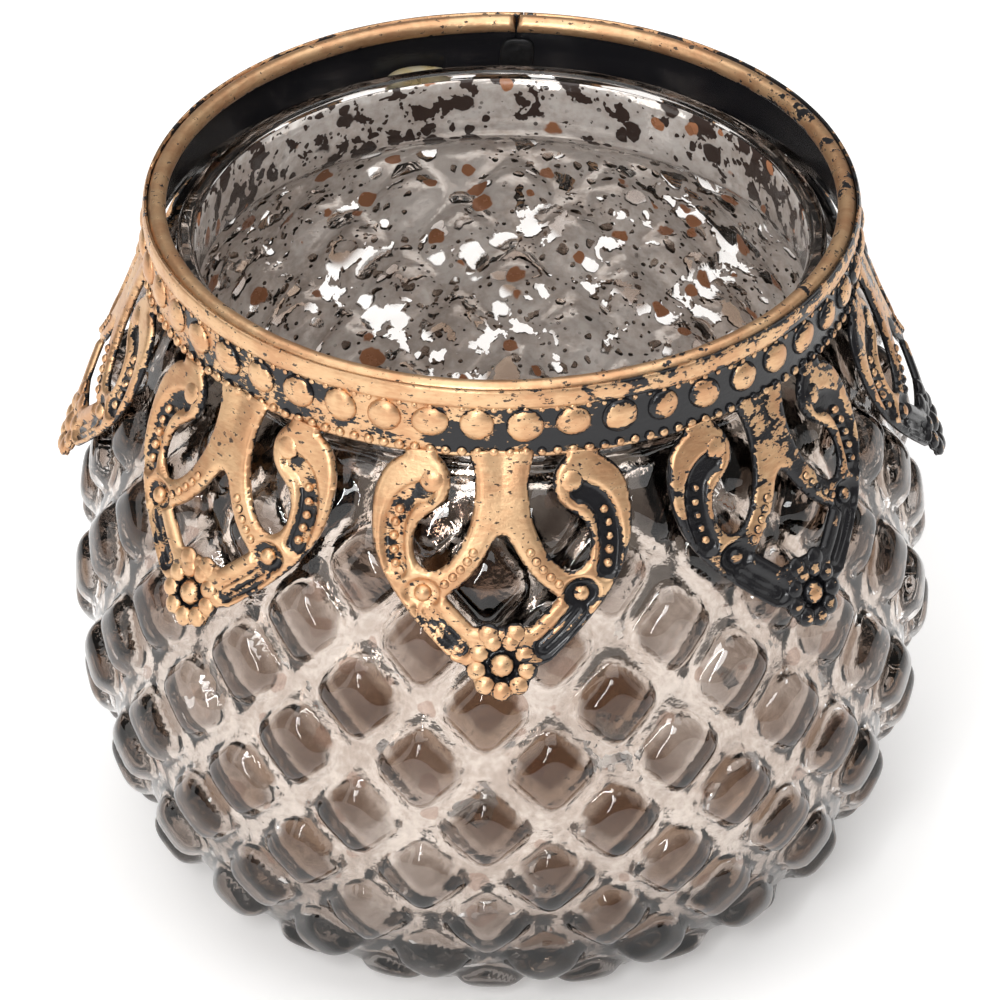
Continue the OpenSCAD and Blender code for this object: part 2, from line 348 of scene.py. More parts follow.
def silvering_material(c):
    """Silvering that flaked off in round drops and ragged patches, with copper-brown flecks.
    'side' is 0 on the face against the glass, which is nearly whole at the front, and 1 on the
    face towards the tealight. Where 'neck' is 1 the dark collar is behind the holes, and the holes
    there are painted dark brown in place of see-through: painted shade for the collar and the shade
    behind them."""
    b, surface = new_material("aged silvering")
    where = b.place()
    side, neck = b.attribute("side"), b.attribute("neck")
    sockets = {"Vector": where, "Scale": 420.0, "Detail": 2.0}
    stir = b.put("ShaderNodeTexNoise", {}, sockets, out="Color")
    stirred = b.vector("ADD", where, b.vector("SCALE", stir, scale=1.9 * MM))
    cloud = b.noise(where, 80, 4.0, 0.6)
    coarse = b.noise(where, 400, 3.0, 0.55, 0.3)
    fine = b.noise(where, 1100, 3.0, 0.6)
    worn = (coarse + (cloud - 0.5) * 0.7 + neck * 0.045).ramp(0.59, 0.605)
    drops = spots(b, stirred, 280, 1, 0.85, 0.14, 0.46)
    specks = spots(b, stirred, 600, 2, 0.55, 0.14, 0.40) * side
    mist = spots(b, where, 1200, 3, 0.45, 0.12, 0.36) * cloud.ramp(0.35, 0.5) * side
    _, y, z = b.parts(where)
    front = y.ramp(4 * MM, -14 * MM) * z.ramp(6 * MM, 12 * MM)
    kept = (b.noise(where, 190, 2.0) + (1.0 - front * (1.0 - side)) * 0.5).ramp(0.58, 0.61)
    holes = worn.math("MAXIMUM", drops.math("MAXIMUM", specks)).math("MAXIMUM", mist) * kept
    rust = spots(b, stirred, 250, 4, 0.72, 0.12, 0.34) * (0.35 + side * 0.65)
    smoky = (cloud * 0.5 + coarse * 0.2 + fine * 0.3).ramp(0.38, 0.62)
    # Painted shade: near the neck the holes are painted dark brown instead of letting the view
    # through.
    worn_through = holes * neck
    dull_silver, dull_smoke = (
        tuple(a * v for a, v in zip(bright, c.veil)) for bright in (c.silver, c.smoke)
    )
    dulled = b.mix(smoky, dull_silver, dull_smoke)
    silver = b.mix(side, dulled, b.mix(smoky, c.silver, c.smoke))
    silver = b.mix(worn_through, silver, BEHIND_HOLES)
    return surface(
        Base_Color=b.mix(rust, silver, c.rust),
        Metallic=(1.0 - rust * 0.6) * (1.0 - side * 0.45) * (1.0 - worn_through),
        Roughness=0.04 + smoky * 0.06 + rust * 0.15 + side * 0.05,
        Alpha=1.0 - holes * (1.0 - rust) * (1.0 - neck),
        Normal=b.bump(coarse + fine * 0.6, 0.14 * MM, 0.4),
    )


STROKE_RADIUS = 37.5 * MM  # of the strip, to lay the brush strokes round it
STROKE_SQUEEZE = 0.28  # a stroke is this much shorter across than along


def antiqued_copper_material(c):
    """Black ground coat with copper dry-brushed over whatever stands proud. The copper is
    nearly whole on the left and lets more of the ground coat show on the right, most of all lower
    down: partly wear, partly painted shade for the darker right side."""
    b, surface = new_material("antiqued copper")
    where = b.place()
    x, y, z = b.parts(where)
    angle = x.math("ARCTAN2", y * -1.0)
    along = b.whole(angle * STROKE_RADIUS * STROKE_SQUEEZE, z, 0.0)
    brushed = b.noise(along, 2300, 3.0, 0.65)
    patch = b.noise(where, 85, 3.0, 0.6)
    blot = b.noise(where, 420, 3.0, 0.6, 0.4)
    grit = b.noise(where, 1500, 3.0, 0.65)
    # More ground coat on the right side and lower down: partly wear, partly painted shade for the
    # darker right side.
    bare = angle.ramp(-0.25, 0.55) * angle.ramp(2.9, 2.0)
    wear = b.attribute("relief") + (brushed - 0.5) * 1.2 + (patch - 0.5) * 1.6
    wear = wear + (blot - 0.5) * 2.2 + (grit - 0.5) * 0.6
    wear = wear - bare * (0.58 + z.ramp(64 * MM, 52 * MM) * 0.5)
    specks = (grit * 0.5 + brushed * 0.5 + (blot - 0.5) * 0.25).ramp(0.59, 0.615)
    cover = (wear + 0.24).ramp(0.40, 0.50) * (1.0 - specks * 0.9)
    metal = b.mix(
        (b.noise(where, 260, 3.0) * 0.6 + brushed * 0.4).ramp(0.38, 0.62), c.copper, c.gold
    )
    return surface(
        Base_Color=b.mix(cover, c.black, metal),
        Metallic=cover * 0.90,
        Roughness=0.22 + cover * (0.08 + grit * 0.20),
        Specular_IOR_Level=0.3,
        Coat_Weight=(1.0 - cover) * 0.15,
        Coat_Roughness=0.12,
        Normal=b.bump(cover * 0.7 + grit * 0.5 + brushed * 0.5 + blot * 0.8, 0.09 * MM, 0.7),
    )


def glue_material(c):
    b, surface = new_material("aged glue")
    where = b.place()
    cloud = b.noise(where, 420, 3.0)
    return surface(
        Base_Color=b.mix(cloud.ramp(0.35, 0.65), c.glue, (0.93, 0.87, 0.66)),
        Roughness=0.18 + cloud * 0.25,
        IOR=1.47,
        Transmission_Weight=0.55,
        Normal=b.bump(cloud, 0.3 * MM, 0.5),
    )


def solder_material(c):
    b, surface = new_material("soft solder")
    where = b.place()
    crust = b.noise(where, 900, 4.0, 0.6)
    return surface(
        Base_Color=b.mix(crust.ramp(0.35, 0.7), c.solder, (0.03, 0.03, 0.03)),
        Metallic=0.9,
        Roughness=0.32 + crust * 0.3,
        Normal=b.bump(crust, 0.2 * MM, 0.6),
    )


def floor_material(c):
    b, surface = new_material("table top")
    where = b.place()
    grain = b.noise(where, 40, 3.0)
    return surface(
        Base_Color=b.mix(grain.ramp(0.3, 0.7), c.floor, tuple(v * 0.985 for v in c.floor)),
        Roughness=0.55 + grain * 0.1,
        Emission_Color=(1.0, 1.0, 1.0, 1.0),
        Emission_Strength=0.26,
    )


# Mesh work.


def clamped(values):
    return np.clip(values, 0, 1)


def eased(values):
    """The same 0 to 1, slow at both ends."""
    return values * values * (3 - 2 * values)


def lengths(vectors):
    return np.linalg.norm(vectors, axis=1)


def make_mesh(name, points, faces, attributes=None, smooth=True):
    """A new object at the origin, with its attributes on its points."""
    mesh = bpy.data.meshes.new(name)
    mesh.from_pydata(np.asarray(points, float).tolist(), [], [tuple(map(int, f)) for f in faces])
    for key, values in (attributes or {}).items():
        values = np.asarray(values, np.float32)
        kind, field = ("FLOAT", "value") if values.ndim == 1 else ("FLOAT_VECTOR", "vector")
        mesh.attributes.new(key, kind, "POINT").data.foreach_set(field, values.ravel())
    mesh.update()
    obj = bpy.data.objects.new(name, mesh)
    bpy.context.scene.collection.objects.link(obj)
    if smooth:
        mesh.shade_smooth()
    return obj


def turned(name, profile, columns, per_row=None, start=0.0, span=TAU, closed=False, wobble=None):
    """A turned shape: profile rows of (radius, height), run with the outside on the right.
    A row of zero radius is a pole. A span short of a full turn leaves both ends capped."""
    profile = np.asarray(profile, float)
    whole = abs(span - TAU) < 1e-9
    angles = start + np.linspace(0, span, columns, endpoint=not whole)
    points, rings, row_of, angle_of = [], [], [], []
    for k, (r, z) in enumerate(profile):
        if r < 1e-9:
            rings.append([len(points)] * columns)
            points.append((0, 0, z))
            row_of.append(k)
            angle_of.append(0.0)
            continue
        first = len(points)
        rings.append(list(range(first, first + columns)))
        for a in angles:
            points.append((r * math.cos(a), r * math.sin(a), z))
            row_of.append(k)
            angle_of.append(a)
    faces = []
    pairs = list(zip(rings[:-1], rings[1:])) + ([(rings[-1], rings[0])] if closed else [])
    last = columns if whole else columns - 1
    for low, high in pairs:
        for j in range(last):
            n = (j + 1) % columns
            quad = (low[j], low[n], high[n], high[j])
            if low[j] == low[n]:
                quad = (low[j], high[n], high[j])
            elif high[j] == high[n]:
                quad = (low[j], low[n], high[j])
            faces.append(quad)
    if not whole:
        faces.append(tuple(ring[0] for ring in rings))
        faces.append(tuple(ring[-1] for ring in reversed(rings)))
    points = np.array(points)
    row_of, angle_of = np.array(row_of), np.array(angle_of)
    if wobble:
        points = wobble(points, row_of, angle_of)
    attributes = {key: np.asarray(values, float)[row_of] for key, values in (per_row or {}).items()}
    return make_mesh(name, points, faces, attributes), row_of, angle_of


def baked(obj, tree, **inputs):
    """Runs a Geometry Nodes tree on obj and keeps the result as its plain mesh."""
    modifier = obj.modifiers.new(tree.name, "NODES")
    modifier.node_group = tree
    names = {
        s.name: s.identifier
        for s in tree.interface.items_tree if getattr(s, "in_out", "") == "INPUT"
    }
    for name, value in inputs.items():
        modifier[names[name.replace("_", " ")]] = value
    bpy.context.view_layer.update()
    mesh = bpy.data.meshes.new_from_object(obj.evaluated_get(bpy.context.evaluated_depsgraph_get()))
    obj.modifiers.clear()
    old, obj.data = obj.data, mesh
    bpy.data.meshes.remove(old)
    mesh.name = obj.name
    mesh.shade_smooth()
    return obj


def drop_attributes(obj, *names):
    for name in names:
        if name in obj.data.attributes:
            obj.data.attributes.remove(obj.data.attributes[name])


def geometry_tree(name, inputs):
    """A tree with a geometry input and output and named inputs. Returns its bench and a wire
    for each input."""
    tree = bpy.data.node_groups.new(name, "GeometryNodeTree")
    tree.interface.new_socket("Geometry", in_out="INPUT", socket_type="NodeSocketGeometry")
    for label, (kind, value) in inputs.items():
        socket = tree.interface.new_socket(label, in_out="INPUT", socket_type=kind)
        if value is not None:
            socket.default_value = value
    tree.interface.new_socket("Geometry", in_out="OUTPUT", socket_type="NodeSocketGeometry")
    bench = Bench(tree)
    entry = tree.nodes.new("NodeGroupInput")
    wires = {s.name: Wire(bench, s) for s in entry.outputs if s.name}
    return bench, wires


def finish_tree(bench, geometry, material):
    """Every tree ends in real mesh with its material on it."""
    whole = bench.put("GeometryNodeRealizeInstances", {}, {"Geometry": geometry})
    painted = bench.put("GeometryNodeSetMaterial", {}, {"Geometry": whole, "Material": material})
    bench.put("NodeGroupOutput", {}, {0: painted})
    return bench.tree


def named(bench, name, kind="FLOAT"):
    return bench.put("GeometryNodeInputNamedAttribute", {"data_type": kind}, {"Name": name})


def stored(bench, geometry, name, value):
    settings = {"data_type": "FLOAT", "domain": "POINT"}
    sockets = {"Geometry": geometry, "Name": name, "Value": value}
    return bench.put("GeometryNodeStoreNamedAttribute", settings, sockets)


def lattice_tree(material):
    """Raises rounded diamond bosses on a turned shape. 'along' is a point's distance along the
    outline, 'around' its angle, and 'lift' the way and the share that it may rise."""
    b, w = geometry_tree(
        "boss lattice",
        {
            "Boss height": ("NodeSocketFloat", 2 * MM),
            "Bosses": ("NodeSocketFloat", 20.0),
            "First row": ("NodeSocketFloat", 6.4 * MM),
            "Row pitch": ("NodeSocketFloat", 7.1355 * MM),
            "Footprint": ("NodeSocketFloat", 0.80),
            "Squareness": ("NodeSocketFloat", 4.4),
            "Fullness": ("NodeSocketFloat", 3.8),
        },
    )
    across = named(b, "around") * w["Bosses"] / math.pi
    up = (named(b, "along") - w["First row"]) / w["Row pitch"]

    def off_centre(value):
        half = value * 0.5
        return abs(half - half.math("ROUND")) * 2.0

    one, other = off_centre(across + up), off_centre(across - up)
    reach = (one ** w["Squareness"] + other ** w["Squareness"]) ** (1.0 / w["Squareness"])
    share = (1.0 - (reach / w["Footprint"]).math("MINIMUM", 1.0) ** w["Fullness"]).math(
        "MAXIMUM", 0.0
    )
    lift = named(b, "lift", "FLOAT_VECTOR")
    place = b.put("GeometryNodeInputPosition")
    was = b.parts(place)[2]
    x, y, z = b.parts(
        b.vector("ADD", place, b.vector("SCALE", lift, scale=share * w["Boss height"]))
    )
    held = b.whole(x, y, z.math("MAXIMUM", was * 0.5))
    marked = stored(b, w["Geometry"], "boss", share * lift.length())
    shaped = b.put("GeometryNodeSetPosition", {}, {"Geometry": marked, "Position": held})
    return finish_tree(b, shaped, material)


STUD_FLOOR = (-2, -2, -0.28)  # a stud is cut flat here, so that it stays out of the thin sheet


def stud_tree(material):
    """Puts a round stud on every point, along its 'out' vector and scaled by its 'size'."""
    b, w = geometry_tree(
        "studs",
        {
            "Segments": ("NodeSocketInt", 14),
            "Rings": ("NodeSocketInt", 8),
            "Depth": ("NodeSocketFloat", 1.0),
        },
    )
    sockets = {"Segments": w["Segments"], "Rings": w["Rings"], "Radius": 1.0}
    ball = b.put("GeometryNodeMeshUVSphere", {}, sockets)
    spot = b.put("GeometryNodeInputPosition")
    lifted = b.vector("MAXIMUM", spot, STUD_FLOOR)
    flat = b.put("GeometryNodeSetPosition", {}, {"Geometry": ball, "Position": lifted})
    marked = stored(b, flat, "relief", b.parts(spot)[2] * 1.25)
    out = named(b, "out", "FLOAT_VECTOR")
    aim = b.put("FunctionNodeAlignRotationToVector", {"axis": "Z"}, {"Vector": out})
    size = named(b, "size", "FLOAT_VECTOR")
    scale = b.vector("MULTIPLY", size, b.whole(1.0, 1.0, w["Depth"]))
    studs = b.put(
        "GeometryNodeInstanceOnPoints",
        {},
        {"Points": w["Geometry"], "Instance": marked, "Rotation": aim, "Scale": scale},
    )
    return finish_tree(b, studs, material)


def hand_over(obj, slot, *nodes, material=None):
    """The finished piece rides on the part and stands for its CAD nodes, which are hidden. Its slot
    is not used.
    """
    if material:
        painted(obj, material)
    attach(obj, "root")
    if nodes:
        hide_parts(*nodes)


def painted(obj, material):
    obj.data.materials.clear()
    obj.data.materials.append(material)
    return obj


def shared(maker):
    """The material or tree that maker gives, made once."""
    if maker.__name__ not in SHARED:
        takes_colours = maker.__code__.co_argcount > 0
        SHARED[maker.__name__] = maker(
            bpy.context.scene.holder_colours
        ) if takes_colours else maker()
    return SHARED[maker.__name__]


SHARED = {}


# Glass and lining.

BODY_ROWS = 140
INNER_ROWS = 50
COLUMNS = 440
HEEL_FADE = 1.7  # the bosses reach their full height this many rows above the foot
NECK_FADE = 1.5  # and this many below the neck


def body_outline(g, rows):
    """Outline between the bosses, evenly spaced: distance along it, points and outward normals."""
    t = np.linspace(0, math.pi / 2, 600)
    low, high = 2 / 1.8, 2 / 1.6
    shoulder = np.array([g.mouth_radius + g.neck_wall + 0.5 * MM, g.lip_height - g.neck_height])
    wide = g.belly_radius - g.foot_radius
    lower = np.c_[g.foot_radius + wide * np.sin(t) ** low, g.belly_height * (1 - np.cos(t) ** low)]
    tall = shoulder[1] - g.belly_height
    narrow = g.belly_radius - shoulder[0]
    upper = np.c_[
        shoulder[0] + narrow * np.cos(t) ** high, g.belly_height + tall * np.sin(t) ** high
    ]
    line = np.concatenate([lower, upper[1:]])
    s = np.concatenate([[0], np.cumsum(lengths(np.diff(line, axis=0)))])
    even = np.linspace(0, s[-1], rows)
    points = np.c_[np.interp(even, s, line[:, 0]), np.interp(even, s, line[:, 1])]
    step = 1 * MM
    ahead, behind = np.minimum(even + step, s[-1]), np.maximum(even - step, 0)
    slope = np.c_[
        np.interp(ahead, s, line[:, 0]) - np.interp(behind, s, line[:, 0]),
        np.interp(ahead, s, line[:, 1]) - np.interp(behind, s, line[:, 1]),
    ]
    slope /= lengths(slope)[:, None]
    return even, points, np.c_[slope[:, 1], -slope[:, 0]]


def fade(g, s, end):
    """Bosses die away below the neck and above the foot."""
    neck, heel = (end - s) / (NECK_FADE * g.row_pitch), s / (HEEL_FADE * g.row_pitch)
    return clamped(np.minimum(neck, heel))


def inner_rows(g, inset=0.0):
    """The inside of the glass, from the neck down to the floor, moved in by inset."""
    s, points, normals = body_outline(g, INNER_ROWS)
    inside = points - normals * g.wall
    keep = (inside[:, 1] > g.floor) & (inside[:, 0] > g.mouth_radius)
    s, inside, normals = s[keep], inside[keep] - normals[keep] * inset, normals[keep]
    share = fade(g, s, body_outline(g, 2)[0][-1]) * g.dimple
    share *= clamped((inside[:, 1] - g.floor) / (6 * MM))
    floor = g.floor + inset
    corner = inside[0, 0] - 4.8 * MM
    order = slice(None, None, -1)
    rows = [
        (r, z, a, n[0] * k, n[1] * k)
        for (r, z), a, n, k in zip(inside[order], s[order], normals[order], share[order])
    ]
    rows += [(corner, floor, s[0], 0, 0)]
    rows += [(corner * f, floor, s[0], 0, 0) for f in (0.75, 0.5, 0.25)] + [(0, floor, s[0], 0, 0)]
    return rows


def lattice_mesh(name, rows, g, closed=False, per_row=None):
    """Turns rows of (radius, height, along, lift outward, lift up), ready for the boss lattice."""
    rows = np.array(rows)
    per_row = {"along": rows[:, 2], **(per_row or {})}
    obj, row_of, angle_of = turned(name, rows[:, :2], COLUMNS, per_row, closed=closed)
    out, up = rows[row_of, 3], rows[row_of, 4]
    lift = np.c_[out * np.cos(angle_of), out * np.sin(angle_of), up]
    data = obj.data.attributes
    data.new("lift", "FLOAT_VECTOR", "POINT").data.foreach_set(
        "vector", lift.astype(np.float32).ravel()
    )
    around = (angle_of + math.pi / 2 - g.turn).astype(np.float32)
    data.new("around", "FLOAT", "POINT").data.foreach_set("value", around)
    return obj


def lattice_inputs(g):
    return {
        "Boss height": g.boss_height,
        "Bosses": float(g.bosses),
        "First row": g.first_row,
        "Row pitch": g.row_pitch,
    }


def lip_rows(g):
    """Neck outside, rounded lip and neck inside."""
    outer, inner, top = g.mouth_radius + g.neck_wall, g.mouth_radius, g.lip_height
    shoulder = top - g.neck_height
    bend = 0.6 * MM
    turn = np.linspace(0, math.pi / 2, 6)
    rows = [
        (outer + 0.12 * MM, shoulder + 0.1 * MM),
        (outer, shoulder + 0.5 * MM),
        (outer, shoulder + 3 * MM),
    ]
    rows += [(outer - bend + bend * math.cos(a), top - bend + bend * math.sin(a)) for a in turn]
    rows += [(inner + bend - bend * math.sin(a), top - bend + bend * math.cos(a)) for a in turn]
    rows += [(inner, top - d * MM) for d in (2.5, 5, 7.5)]
    return [(r, z, 0, 0, 0) for r, z in rows]


class HOLDER_OT_glass(Operator):
    """Make the bossed glass bowl"""

    bl_idname = "holder.glass"
    bl_label = "Glass bowl"

    def execute(self, context):
        g = context.scene.holder_glass
        s, points, normals = body_outline(g, BODY_ROWS)
        share = fade(g, s, s[-1])
        inner = g.foot_radius - g.foot_ring
        foot = [
            (0, g.punt),
            (inner * 0.4, g.punt),
            (inner * 0.8, g.punt),
            (inner - 0.4 * MM, g.punt * 0.98),
        ]
        foot += [
            (inner, g.punt * 0.6),
            (inner + 0.15 * MM, 0.15 * MM),
            (inner + 0.6 * MM, 0),
            (g.foot_radius - 1 * MM, 0),
        ]
        rows = [(r, z, 0, 0, 0) for r, z in foot]
        rows += [
            (r, z, a, n[0] * k, n[1] * k) for (r, z), a, n, k in zip(points, s, normals, share)
        ]
        rows += lip_rows(g) + inner_rows(g)
        bowl = lattice_mesh("pressed_glass", rows, g)
        tree = lattice_tree(shared(clear_glass_material))
        baked(bowl, tree, **lattice_inputs(g))
        drop_attributes(bowl, "along", "around", "lift")
        hand_over(bowl, "clear_glass", "glass_bowl")
        return {"FINISHED"}


class HOLDER_OT_lining(Operator):
    """Make the aged silvering on the inside of the glass"""

    bl_idname = "holder.lining"
    bl_label = "Silver lining"

    def execute(self, context):
        g = context.scene.holder_glass
        layers = []
        for inset in (-0.04 * MM, g.lining - 0.04 * MM):
            neck = [
                g.lip_height - g.lining_drop,
                g.lip_height - 2.5 * MM,
                g.lip_height - 5 * MM,
                g.lip_height - 7.5 * MM,
            ]
            layers.append(
                [(g.mouth_radius - inset, z, 0, 0, 0) for z in neck] + inner_rows(g, inset)
            )
        rows = layers[0][::-1] + layers[1]
        sides = [0.0] * len(layers[0]) + [1.0] * len(layers[1])
        heights = np.array([row[1] for row in rows])
        neck = clamped((heights - (g.lip_height - 10.5 * MM)) / (1.5 * MM))
        lining = lattice_mesh("silvering", rows, g, per_row={"side": sides, "neck": neck})
        tree = lattice_tree(shared(silvering_material))
        baked(lining, tree, **lattice_inputs(g))
        drop_attributes(lining, "along", "around", "lift", "boss")
        hand_over(lining, "aged_silvering", "silver_lining")
        return {"FINISHED"}


# Collar.


RING_STEPS = 420
HOOP_SEAM = 0.25 * MM  # the gap left at the hoop's seam
STRIP_SEAM = 0.08 * MM  # and at the strip's
STRIP_TURN = 0.02  # the strip's seam lies this far from the hoop's


def seam_angle(c):
    return math.pi / 2 + c.seam


def dents(points, seed, amount):
    """Slight hand-made unevenness: a few slow waves in the radius and the height."""
    chance = np.random.default_rng(seed)
    angle = np.arctan2(points[:, 1], points[:, 0])
    wave = sum(np.sin(angle * k + chance.uniform(0, TAU)) / k**0.5 for k in (2, 3, 5, 9, 17, 31))
    lift = sum(np.sin(angle * k + chance.uniform(0, TAU)) / k**0.5 for k in (3, 4, 7, 13, 23))
    radius = lengths(points[:, :2])[:, None]
    moved = points.copy()
    moved[:, :2] += points[:, :2] / np.maximum(radius, 1e-9) * (wave * amount)[:, None]
    moved[:, 2] += lift * amount
    return moved


class HOLDER_OT_hoop(Operator):
    """Make the plain hoop with its curled rim and the notch at its seam"""

    bl_idname = "holder.hoop"
    bl_label = "Rim hoop"

    def execute(self, context):
        c = context.scene.holder_collar
        outer, inner = c.hoop_radius, c.hoop_radius - c.sheet
        centre = (outer - c.curl, c.rim_height - c.curl)
        touch = math.degrees(math.asin((inner - centre[0]) / c.curl)) - 90
        arc = np.radians(np.linspace(0, 360 + touch, 26))
        rows = [(inner, c.hoop_foot), (outer, c.hoop_foot), (outer, c.hoop_foot + 4 * MM)]
        rows += [(centre[0] + c.curl * math.cos(a), centre[1] + c.curl * math.sin(a)) for a in arc]
        rows += [(inner, z) for z in np.linspace(rows[-1][1] - 0.4 * MM, c.hoop_foot + 0.5 * MM, 6)]
        rows = np.array(rows)
        relief = clamped((rows[:, 1] - centre[1] + 1.5 * MM) / (1.6 * MM))
        relief[rows[:, 1] < centre[1] - c.curl] = -0.6

        def notch(points, row_of, angle_of):
            ends = np.minimum(angle_of - angle_of.min(), angle_of.max() - angle_of) * outer
            side = np.where(angle_of - angle_of.min() < angle_of.max() - angle_of, 1.0, -1.0)
            high = clamped((points[:, 2] - centre[1]) / c.curl)
            turn = angle_of + side * high * 0.4 * MM * clamped(1 - ends / (2 * MM)) / outer
            radius = lengths(points[:, :2])
            moved = np.c_[radius * np.cos(turn), radius * np.sin(turn), points[:, 2]]
            return dents(moved, 3, 0.035 * MM)

        gap = HOOP_SEAM / outer
        start = seam_angle(c) + gap / 2
        hoop, _, _ = turned(
            "curled_hoop", rows, RING_STEPS, {"relief": relief}, start, TAU - gap, True, notch
        )
        copper = shared(antiqued_copper_material)
        hand_over(hoop, "antiqued_copper", "rim_hoop", material=copper)
        return {"FINISHED"}


def stud_points(name, places, outs, sizes):
    """Points for the stud tree: places, outward vectors and (across, across, out) sizes."""
    return make_mesh(name, places, [], {"out": outs, "size": sizes}, smooth=False)


def ring_of_studs(count, radius, z, across, out, seed):
    """Studs round the strip, each a little off its place and its size."""
    chance = np.random.default_rng(seed)
    angles = -math.pi / 2 + TAU * (np.arange(count) + 0.5) / count
    angles += chance.uniform(-0.05, 0.05, count) * across / radius
    outs = np.c_[np.cos(angles), np.sin(angles), np.zeros(count)]
    places = outs * radius + np.c_[
        np.zeros((count, 2)), z + chance.uniform(-0.06, 0.06, count) * across
    ]
    return places, outs, np.tile([across, across, out], (count, 1)) * chance.uniform(
        0.86, 1.02, (count, 3)
    )


class HOLDER_OT_band(Operator):
    """Make the stamped strip with its domes and its two rows of small beads"""

    bl_idname = "holder.band"
    bl_label = "Beaded band"

    def execute(self, context):
        c = context.scene.holder_collar
        inner, face = c.hoop_radius, c.hoop_radius + c.sheet
        foot, top = c.band_foot, c.band_top
        middle = top - c.border / 2
        # Rows of radius, height and relief.
        rows = [(inner, foot, 0), (face, foot, 0.6)]
        rows += [(face + 0.12 * MM, foot + 0.25 * MM, 0.8), (face, foot + 0.5 * MM, 0.4)]
        plain = np.linspace(foot + 1.3 * MM, top - c.border - 0.3 * MM, 8)
        rows += [(face, z, 0.22) for z in plain]
        for t in np.linspace(-1, 1, 13):
            out = face + 0.3 * MM * math.sqrt(1 - t * t)
            rows += [(out, middle + t * c.border / 2, 0.95 - 0.35 * abs(t))]
        rows += [(face + 0.05 * MM, top, 0.7), (inner + 0.12 * MM, top, 0.5)]
        rows += [(inner + 0.1 * MM, top - 0.5 * MM, 0), (inner, top - 1.2 * MM, 0)]
        rows += [(inner, foot + 3 * MM, 0)]
        rows = np.array(rows)
        profile, relief = rows[:, :2], rows[:, 2]
        gap = STRIP_SEAM / face
        start = seam_angle(c) + gap / 2 - STRIP_TURN
        wobble = lambda points, row_of, angle_of: dents(points, 5, 0.03 * MM)
        band, _, _ = turned(
            "stamped_strip", profile, RING_STEPS, {"relief": relief}, start, TAU - gap, True, wobble
        )
        copper = shared(antiqued_copper_material)
        hand_over(band, "antiqued_copper", "beaded_band", material=copper)

        dome_z = top - c.border - c.dome_radius
        domes = ring_of_studs(c.domes, face - 0.05 * MM, dome_z, c.dome_radius, c.dome_out, 11)
        upper = ring_of_studs(c.domes * 3, face, top - c.border - 0.2 * MM, 0.36 * MM, 0.2 * MM, 12)
        lower = ring_of_studs(c.domes * 3, face, foot + 0.62 * MM, 0.60 * MM, 0.5 * MM, 13)
        tree = stud_tree(copper)
        for name, rings, segments in (
            ("strip_domes", [domes], 18), ("strip_beads", [upper, lower], 10)
        ):
            places, outs, sizes = (np.concatenate([ring[i] for ring in rings]) for i in range(3))
            beads = stud_points(name, places, outs, sizes)
            baked(beads, tree, Segments=segments, Rings=segments // 2 + 1)
            drop_attributes(beads, "out", "size")
            hand_over(beads, "antiqued_copper")
        return {"FINISHED"}


# Pendant pattern. Points are (sideways, down) as shares of half the width and of the length,
# for the right half; the left half mirrors it.
PENDANT_NODES = [f"pendant_{i}" for i in range(1, 9)]


def curve(*corners, steps=14):
    a, b, c, d = (np.array(p, float) for p in corners)
    t = np.linspace(0, 1, steps, endpoint=False)[:, None]
    u = 1 - t
    return (u**3 * a + 3 * u * u * t * b + 3 * u * t * t * c + t**3 * d).tolist()


OUTER_EDGE = (
    [(0.74, -0.05)]
    + curve((0.74, 0), (0.93, 0.03), (1, 0.14), (1, 0.28))
    + curve((1, 0.28), (1, 0.47), (0.80, 0.62), (0.38, 0.84))
    + [(0.38, 0.84), (0.2, 0.88)]
)
SIDE_OPENING = (
    [(0.25, -0.05)]
    + curve((0.25, 0), (0.19, 0.06), (0.19, 0.20), (0.255, 0.295))
    + curve((0.255, 0.295), (0.31, 0.38), (0.43, 0.476), (0.545, 0.476))
    + curve((0.545, 0.476), (0.70, 0.476), (0.73, 0.33), (0.62, 0.262))
    + curve((0.62, 0.262), (0.53, 0.225), (0.40, 0.20), (0.393, 0.115))
    + curve((0.393, 0.115), (0.39, 0.06), (0.44, 0.03), (0.49, 0))
    + [(0.49, 0), (0.49, -0.05)]
)
CENTRE_OPENING = curve((0, 0.32), (0.10, 0.32), (0.10, 0.47), (0.44, 0.58)) + [
    (0.44, 0.58), (0.22, 0.70)
]
PEARL_LINE = curve((0.60, 0.150), (0.80, 0.165), (0.88, 0.30), (0.80, 0.50), steps=17)
RIB_LINE = curve((0.60, 0.635), (0.52, 0.69), (0.42, 0.745), (0.30, 0.80), steps=12)
LEG_LINE = curve((0.20, 0.375), (0.27, 0.445), (0.36, 0.495), (0.49, 0.545), steps=7)


def away_from(points, outline, closed):
    """Distance of each point to an outline."""
    ends = outline[1:] + ([outline[0]] if closed else [])
    best = np.full(len(points), 1e9)
    for p, q in zip(np.array(outline), np.array(ends)):
        edge = q - p
        size = edge @ edge
        if size < 1e-18:
            continue
        t = clamped((points - p) @ edge / size)
        best = np.minimum(best, lengths(points - p - t[:, None] * edge))
    return best


def within(points, outline):
    """Which points lie inside a closed outline."""
    inside = np.zeros(len(points), bool)
    shape = np.array(outline)
    for p, q in zip(shape, np.roll(shape, -1, axis=0)):
        crosses = (p[1] > points[:, 1]) != (q[1] > points[:, 1])
        if abs(q[1] - p[1]) > 1e-15:
            inside ^= crosses & (
                points[:, 0] < (q[0] - p[0]) * (points[:, 1] - p[1]) / (q[1] - p[1]) + p[0]
            )
    return inside


def signed(points, outline):
    """Negative inside the outline."""
    gap = away_from(points, outline, True)
    return np.where(within(points, outline), -gap, gap)


def sized(outline, c):
    return [(u * c.half_width, v * c.drop) for u, v in outline]


